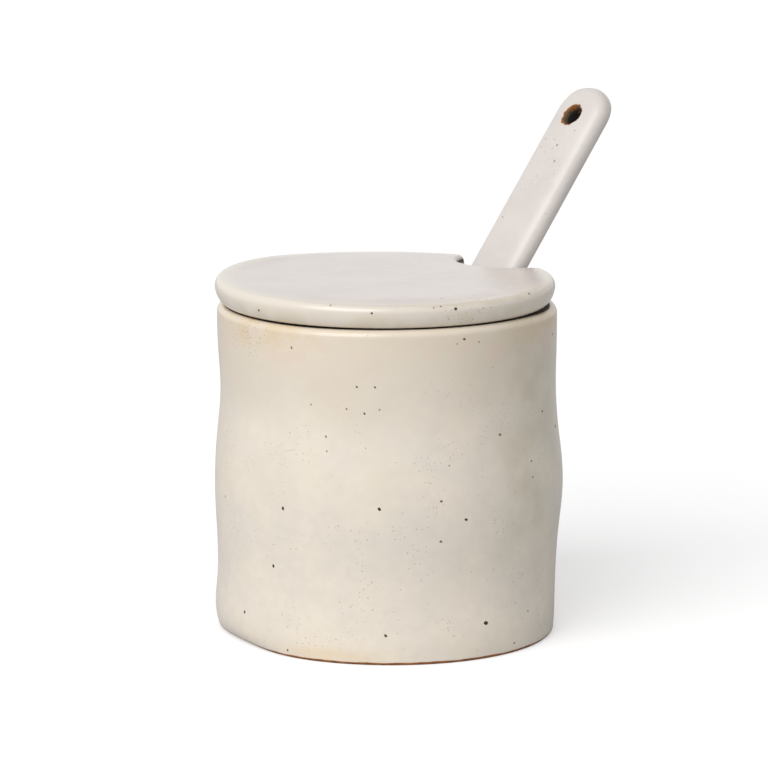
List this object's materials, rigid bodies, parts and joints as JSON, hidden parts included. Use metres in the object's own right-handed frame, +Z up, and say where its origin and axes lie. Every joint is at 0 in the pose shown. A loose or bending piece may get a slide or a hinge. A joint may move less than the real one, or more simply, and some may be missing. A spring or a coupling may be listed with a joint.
{
  "type": "jam pot with lid and spoon",
  "caption": "Straight-sided stoneware jam pot with a flat rounded lid, notched for a long-handled spoon that leans in the pot.",
  "frame": {"origin": "centre of the plane the foot stands on, on the pot's axis", "axes": "+Z up along the pot's axis; the spoon leans out towards +X, through the lid's notch; +Y completes the right-handed frame"},
  "size_m": [0.1154, 0.0865, 0.1302],
  "materials": {
    "pot_glaze": "cream satin glaze over stoneware, bare at the foot",
    "lid_glaze": "pale pinkish-grey satin glaze over stoneware",
    "spoon_glaze": "pale grey satin glaze over stoneware"
  },
  "bodies": {
    "root": {"pot": "pot_glaze", "lid": "lid_glaze", "spoon": "spoon_glaze"}
  },
  "joints": []
}
